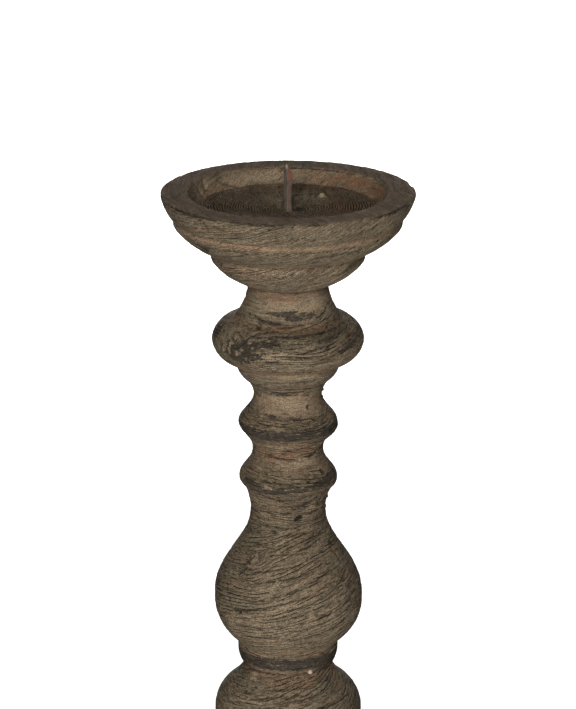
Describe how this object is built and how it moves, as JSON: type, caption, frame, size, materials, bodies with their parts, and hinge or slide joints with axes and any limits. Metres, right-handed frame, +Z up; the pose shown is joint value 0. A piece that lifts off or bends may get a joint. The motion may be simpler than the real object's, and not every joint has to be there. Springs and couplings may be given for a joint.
{
  "type": "wooden pricket candlestick",
  "caption": "Tall turned wooden candlestick with a stepped dish and upright iron spike, a mirrored double-baluster stem with knops and rings, and a stepped round foot.",
  "frame": {"origin": "centre of the underside of the felt pads, on the table", "axes": "+Z up along the turned column's axis; the spike's front edge faces -Y"},
  "size_m": [0.15, 0.15, 0.5015],
  "materials": {
    "dish_wood": "matte, weathered",
    "stem_wood": "matte, wire-brushed grain",
    "ring_wood": "matte, dark worn edges",
    "dowel_wood": "bare beech",
    "iron": "rusted iron, matte",
    "felt": "dense felt"
  },
  "bodies": {
    "root": {"dish": "dish_wood", "spike": "iron", "upper_knop": "stem_wood", "upper_rings": "ring_wood", "upper_baluster": "stem_wood", "collar": "ring_wood", "lower_baluster": "stem_wood", "lower_rings": "ring_wood", "lower_knop": "stem_wood", "foot": "dish_wood", "dish_dowel": "dowel_wood", "upper_knop_dowel": "dowel_wood", "upper_rings_dowel": "dowel_wood", "collar_dowel": "dowel_wood", "lower_rings_dowel": "dowel_wood", "lower_knop_dowel": "dowel_wood", "foot_dowel": "dowel_wood", "felt_pad_1": "felt", "felt_pad_2": "felt", "felt_pad_3": "felt", "felt_pad_4": "felt"}
  },
  "joints": []
}
